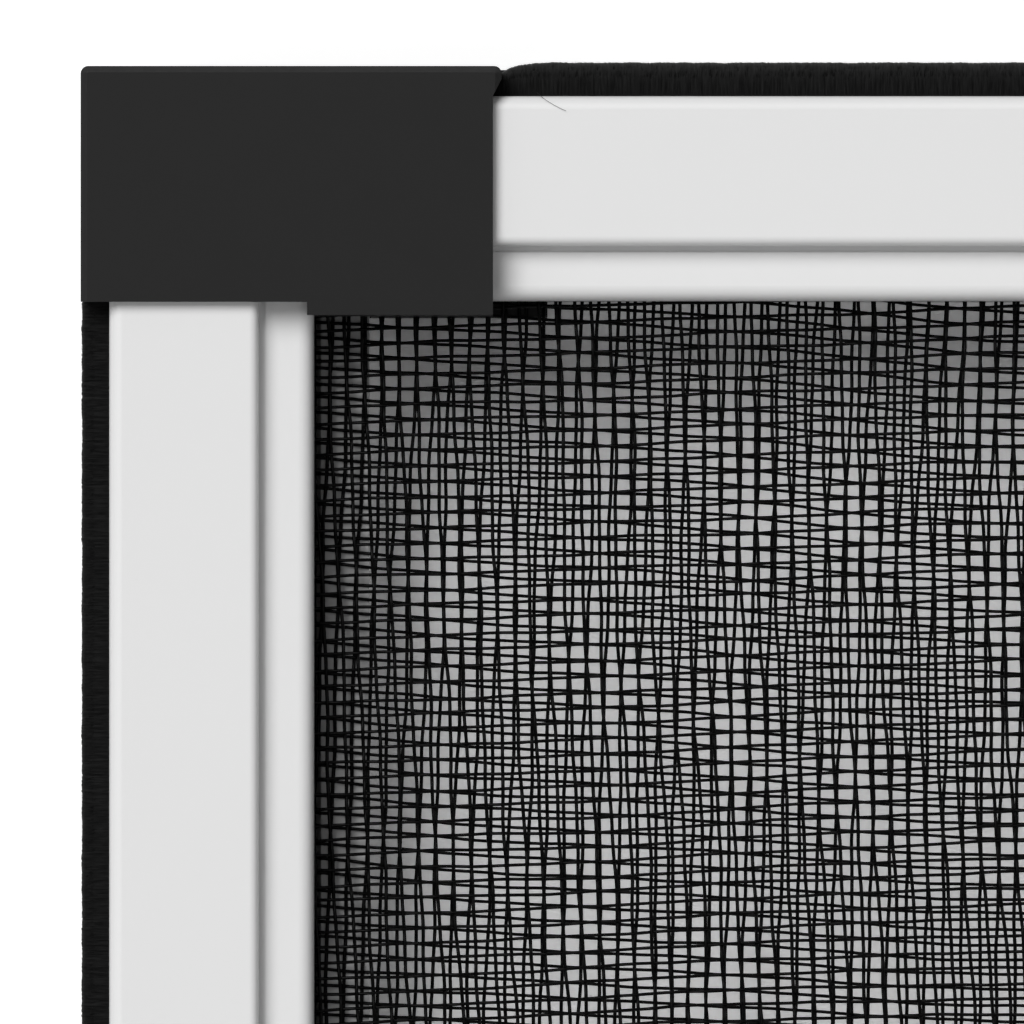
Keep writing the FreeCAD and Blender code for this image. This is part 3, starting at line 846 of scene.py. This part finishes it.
def brush_core(strip):
    """Rings of the core: outline times pile height, plus ridges, tufts and a backing."""
    line = strip_stations(strip)
    across = PILE_OUTLINE[:, 0] * strip.pile_half
    share = PILE_OUTLINE[:, 1]
    bundle = random.normal(0, BUNDLE_PROUD, (2, len(line)))
    tufts = smooth_noise(line, TUFT_LENGTHS, TUFT_HEIGHT)[:, None]
    side = np.where(share < 1, np.sign(across), 0)
    proud = np.where(side > 0, bundle[0][:, None], bundle[1][:, None]) * np.sqrt(share)
    top = strip.top(line)[:, None]
    high = BACKING + (top - BACKING) * share + (tufts + BUNDLE_AT_TOP * proud) * share
    wide = across + side * proud
    backing = strip.backing_half
    foot = np.array([(-backing, BACKING), (-backing, 0), (backing, 0), (backing, BACKING)])
    wide = np.concatenate([wide, np.tile(foot[:, 0], (len(line), 1))], 1)
    high = np.concatenate([high, np.tile(foot[:, 1], (len(line), 1))], 1)
    rings = strip.points(line[:, None], wide, high)
    count = wide.shape[1]
    faces = ring_faces(len(line), count).tolist()
    last_ring = (len(line) - 1) * count
    faces += [list(range(count))[::-1], list(range(last_ring, last_ring + count))]
    uv = np.stack([np.broadcast_to(line[:, None], high.shape), high], -1)
    return rings.reshape(-1, 3), faces, uv.reshape(-1, 2)


print("stations of each core", {strip.name: len(strip_stations(strip)) for strip in strips})

# %% [markdown]
# A fibre is a thin spike of four faces, with its root inside the core. Half of them stand
# up out of the top, where they make the soft outline. The other half lie along the two
# sides and lean out a little, which catches the light in fine streaks.

# %% Single fibres of a brush
# Fibres to the millimetre of strip
SEEN_FIBRES = 110
PLAIN_FIBRES = 11
FIBRE_HALF = 0.026 * MM
END_MARGIN = 0.3 * MM
# Roots: how far across, as a share of the half width, and how high, as a share of the pile
TOP_SPREAD = 0.92
TOP_START = (0.7, 0.85)
SIDE_SPREAD = 0.97
SIDE_START = (0.0, 0.7)
SIDE_LENGTH = (0.2, 0.5)
# Tips: how far over the top, across and along; for a side fibre, out in millimetres
TIP_UP = 0.09 * MM
TIP_ACROSS = 0.16 * MM
TIP_ALONG = 0.13 * MM
TIP_OUT_MM = (0.06, 0.15)
# Each fibre reads its streaks up to this far away, so that neighbours differ
UV_SHIFT = 0.3


def fibre_roots(strip):
    """Random places along a strip, denser where it is seen."""
    first, last = strip.span
    low, high = first + END_MARGIN, last - END_MARGIN
    parts = [random.uniform(low, high, int((last - first) / MM * PLAIN_FIBRES))]
    if strip.seen:
        low = max(first, strip.seen[0]) + END_MARGIN
        high = min(last, strip.seen[1]) - END_MARGIN
        parts.append(random.uniform(low, high, int((high - low) / MM * SEEN_FIBRES)))
    return np.concatenate(parts)


def brush_fibres(strip):
    """Spikes as arrays: three root corners and a tip each, for the top and the sides."""
    along = fibre_roots(strip)
    count = len(along)
    on_top = random.random(count) < 0.5
    half = strip.pile_half
    pile = strip.top(along) - BACKING
    side = np.where(random.random(count) < 0.5, -1.0, 1.0)
    # Roots: spread under the top, or just under one side
    spread = random.uniform(-TOP_SPREAD, TOP_SPREAD, count)
    across = np.where(on_top, spread, side * SIDE_SPREAD) * half
    top_start = random.uniform(*TOP_START, count)
    side_start = random.uniform(*SIDE_START, count)
    start = np.where(on_top, top_start, side_start)
    length = np.where(on_top, 1 - start, random.uniform(*SIDE_LENGTH, count))
    reach = np.minimum(start + length, 1.0)
    over = np.abs(random.normal(0, TIP_UP, count)) * on_top
    top_lean = random.normal(0, TIP_ACROSS, count)
    side_lean = side * random.uniform(*TIP_OUT_MM, count) * MM
    tip_across = across + np.where(on_top, top_lean, side_lean)
    root = strip.points(along, across, BACKING + pile * start)
    tip_along = np.clip(along + random.normal(0, TIP_ALONG, count), *strip.span)
    tip = strip.points(tip_along, tip_across, BACKING + pile * reach + over)
    turn = random.uniform(0, 2 * np.pi, count)[:, None] + np.arange(3) * 2 * np.pi / 3
    base = root[:, None].repeat(3, 1)
    base[..., strip.along] += FIBRE_HALF * np.cos(turn)
    base[..., strip.across] += FIBRE_HALF * np.sin(turn)
    points = np.concatenate([base, tip[:, None]], 1)
    first = np.arange(count)[:, None, None] * 4
    spike = np.array([(0, 1, 3), (1, 2, 3), (2, 0, 3), (2, 1, 0)])
    faces = (first + spike).reshape(-1, 3)
    place = along + random.uniform(-UV_SHIFT, UV_SHIFT, count)
    from_root = np.linalg.norm(points - root[:, None], axis=-1)
    uv = np.stack([place[:, None].repeat(4, 1), from_root], -1)
    return points.reshape(-1, 3), faces, uv.reshape(-1, 2)


# %% [markdown]
# Core and fibres are one piece, because they are one brush. Which way an outline runs
# depends on the brush's directions, so the faces are turned outwards by measuring the
# volume they enclose: a surface that is inside out has a volume below zero.


# %% Brushes in place of their plain solids
def enclosed(points, faces):
    """Volume inside a closed surface, from the cone of each face to the mean point."""
    points = points - points.mean(0)
    total = 0.0
    for size in {len(face) for face in faces}:
        corner = points[np.array([face for face in faces if len(face) == size])]
        for step in range(1, size - 1):
            cone = np.cross(corner[:, step], corner[:, step + 1])
            total += (corner[:, 0] * cone).sum() / 6
    return total


def outward(points, faces):
    """The same faces, all turned round if their surface is inside out."""
    return faces if enclosed(points, faces) > 0 else [face[::-1] for face in faces]


def brush(strip):
    """One brush piece from core and fibres, with a UV map for its streaks.

    It gives back the number of triangles.
    """
    points, faces, uv = brush_core(strip)
    faces = outward(points, faces)
    hair_points, hair_faces, hair_uv = brush_fibres(strip)
    # A fibre's corners run round the other way where its strip's directions do
    if enclosed(hair_points[:4], hair_faces[:4].tolist()) < 0:
        hair_faces = hair_faces[:, ::-1]
    faces += (hair_faces + len(points)).tolist()
    points = np.concatenate([points, hair_points])
    uv = np.concatenate([uv, hair_uv])
    piece = new_piece(strip.name + "_pile", points, faces, black_pile, strip.body)
    mesh = piece.data
    corner = np.empty(len(mesh.loops), dtype=np.int32)
    mesh.loops.foreach_get("vertex_index", corner)
    layer = mesh.uv_layers.new(name="fibre")
    layer.data.foreach_set("uv", uv[corner].astype(np.float32).ravel())
    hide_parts(strip.name)
    mesh.calc_loop_triangles()
    return len(mesh.loop_triangles)


print("brush triangles", {strip.name: brush(strip) for strip in strips})

# %% [markdown]
# One fibre has come loose and lies over the top rail's edge. It is a tube round a few
# points, thinner than a pixel, and such small things are what makes a part look real.

# %% A loose fibre on the top rail
rail_low, rail_high = corners("front_top_rail")
LOOSE_RADIUS = 0.018 * MM
# Right and down from the rail's left end and outer edge, and out from its face
loose_mm = np.array([
    (20.4, -0.4, -2.2), (20.7, -0.05, -0.5), (20.95, 0.2, 0.0), (21.4, 0.5, 0.04),
    (21.95, 0.84, 0.06), (22.45, 1.1, 0.1), (22.8, 1.27, 0.16), (23.05, 1.38, 0.24),
])
loose = np.stack([
    rail_low[0] + loose_mm[:, 0] * MM,
    rail_low[1] - loose_mm[:, 2] * MM,
    rail_high[2] - loose_mm[:, 1] * MM,
], -1)
ring = thread_ring(loose, LOOSE_RADIUS)
ends = [list(range(SIDES))[::-1], list(range(len(ring) - SIDES, len(ring)))]
loose_faces = ring_faces(len(loose), SIDES).tolist() + ends
new_piece("front_loose_fibre", ring, loose_faces, black_pile, "front_half")
loose_length = np.linalg.norm(np.diff(loose, axis=0), axis=1).sum()
print("loose fibre runs", np.round(loose_length / MM, 1), "mm")

# %% [markdown]
# Scene around the screen: a pale floor under it and a wall close behind it, as in a
# product picture. To the eye the wall is white in the open and goes grey behind the two
# meshes, because their threads take away half of its light. For all other light it is
# dark, so that it doesn't throw back more on the frame than a real backdrop, which stands
# further off, would. It has one side only: from behind, the camera looks through it.


# %% Floor and wall
def flat_panel(name, size, place, standing, material):
    """A rectangle, lying flat or standing with its face to the front."""
    half_x, half_y = size[0] / 2, size[1] / 2
    flat = [(-half_x, -half_y), (half_x, -half_y), (half_x, half_y), (-half_x, half_y)]
    if standing:
        points = [(place[0] + p, place[1], place[2] + q) for p, q in flat]
    else:
        points = [(place[0] + p, place[1] + q, place[2]) for p, q in flat]
    mesh = bpy.data.meshes.new(name)
    mesh.from_pydata(points, [], [(0, 1, 2, 3)])
    mesh.materials.append(material)
    panel = bpy.data.objects.new(name, mesh)
    bpy.context.scene.collection.objects.link(panel)


def seen_rays(tree):
    """Light Path's outputs, and 1 for rays from the camera, a gloss or a glass."""
    rays = tree.nodes.new("ShaderNodeLightPath").outputs
    value = rays["Is Camera Ray"]
    for kind in ("Is Glossy Ray", "Is Transmission Ray"):
        value = math_node(tree, "MAXIMUM", value, rays[kind])
    return rays, value


def mixed_shader(tree, share, first, second):
    """The output of a Mix Shader node: the first shader at 0, and the second at 1."""
    node = tree.nodes.new("ShaderNodeMixShader")
    for value, socket in zip((share, first, second), node.inputs):
        feed(tree, value, socket)
    return node.outputs[0]


def stage_material(name, tone):
    """A matt grey, with no gloss."""
    material, tree, shader = new_material(name)
    feed(tree, grey(tone), shader.inputs["Base Color"])
    feed(tree, 1, shader.inputs["Roughness"])
    feed(tree, 0, shader.inputs["Specular IOR Level"])
    return material


def show_one_side(material, seen_tone):
    """Give another grey to rays that look, and let all light through from behind.

    It also blocks no lamp. A seen tone above 1 makes up for the shade behind the screen.
    """
    tree = material.node_tree
    rays, looked_at = seen_rays(tree)
    matt = tree.nodes.new("ShaderNodeBsdfDiffuse")
    feed(tree, grey(seen_tone), matt.inputs["Color"])
    face = mixed_shader(
        tree, looked_at, tree.nodes["Principled BSDF"].outputs[0], matt.outputs[0]
    )
    behind = tree.nodes.new("ShaderNodeNewGeometry").outputs["Backfacing"]
    hide = math_node(tree, "MAXIMUM", behind, rays["Is Shadow Ray"])
    clear = tree.nodes.new("ShaderNodeBsdfTransparent").outputs[0]
    surface = tree.nodes["Material Output"].inputs["Surface"]
    feed(tree, mixed_shader(tree, hide, face, clear), surface)


WALL_GAP = 1.5 * MM
floor_finish = stage_material("floor", 0.82)
flat_panel("floor", (12, 12), (0.3, 0, 0), False, floor_finish)
wall_finish = stage_material("wall", 0.2)
show_one_side(wall_finish, seen_tone=1.35)
flat_panel("wall", (3.2, 1.8), (0.35, screen_high[1] + WALL_GAP, 0.9), True, wall_finish)
print("wall at y", round(screen_high[1] + WALL_GAP, 4))

# %% [markdown]
# Light. A white sky shows behind everything, but lights the screen only faintly, so that
# shadows stay soft and not empty. A broad lamp from the upper left front gives the shade
# under each edge. A weaker one lights the back, which no picture shows but a user sees.

# %% Sky and lamps
# How strongly the sky lights the screen, and how wide a lamp is, in degrees
SKY_FILL = 0.12
LAMP_ANGLE = 34
world = bpy.data.worlds.new("studio")
bpy.context.scene.world = world
world.use_nodes = True
sky = world.node_tree
air = sky.nodes["Background"].inputs
feed(sky, grey(1), air["Color"])
feed(sky, math_node(sky, "MAXIMUM", seen_rays(sky)[1], SKY_FILL), air["Strength"])


def soft_lamp(name, strength, towards):
    """A broad distant lamp that shines along a direction."""
    light = bpy.data.lights.new(name, "SUN")
    light.energy = strength
    light.angle = np.radians(LAMP_ANGLE)
    lamp = bpy.data.objects.new(name, light)
    lamp.rotation_euler = Vector(towards).to_track_quat("-Z", "Y").to_euler()
    bpy.context.scene.collection.objects.link(lamp)


soft_lamp("key", 2.47, (0.46, 1.0, -0.55))
soft_lamp("back", 0.75, (0.1, -1.0, -0.5))
print("lamps", [light.name for light in bpy.data.lights])

# %% [markdown]
# Camera. The photograph looks straight at the screen from far off, with hardly any
# perspective. Its frame is 93.1 mm wide at the caps' front, at 11 pixels to the
# millimetre, and the cap's outer corner falls at (80, 66) of its 1024 pixels. From these
# the camera's place and its lens follow.

# %% Camera
PIXELS_PER_MM = 11.0
FRAME_PIXELS = 1024
CORNER_PIXEL = (80.4, 65.7)
CAMERA_DISTANCE = 1.2
view_width = FRAME_PIXELS / PIXELS_PER_MM * MM
cap_low, cap_high = corners("front_outer_top_cap")
camera_x = cap_low[0] + (FRAME_PIXELS / 2 - CORNER_PIXEL[0]) / PIXELS_PER_MM * MM
camera_z = cap_high[2] - (FRAME_PIXELS / 2 - CORNER_PIXEL[1]) / PIXELS_PER_MM * MM
optics = bpy.data.cameras.new("camera")
optics.sensor_width = 36
optics.lens = optics.sensor_width * CAMERA_DISTANCE / view_width
optics.clip_start = 0.01
camera = bpy.data.objects.new("camera", optics)
camera.location = (camera_x, cap_low[1] - CAMERA_DISTANCE, camera_z)
camera.rotation_euler = (np.pi / 2, 0, 0)
bpy.context.scene.collection.objects.link(camera)
bpy.context.scene.camera = camera
bpy.context.scene.view_settings.view_transform = "Standard"
print("lens", round(optics.lens), "mm, view", round(view_width / MM, 1), "mm wide")
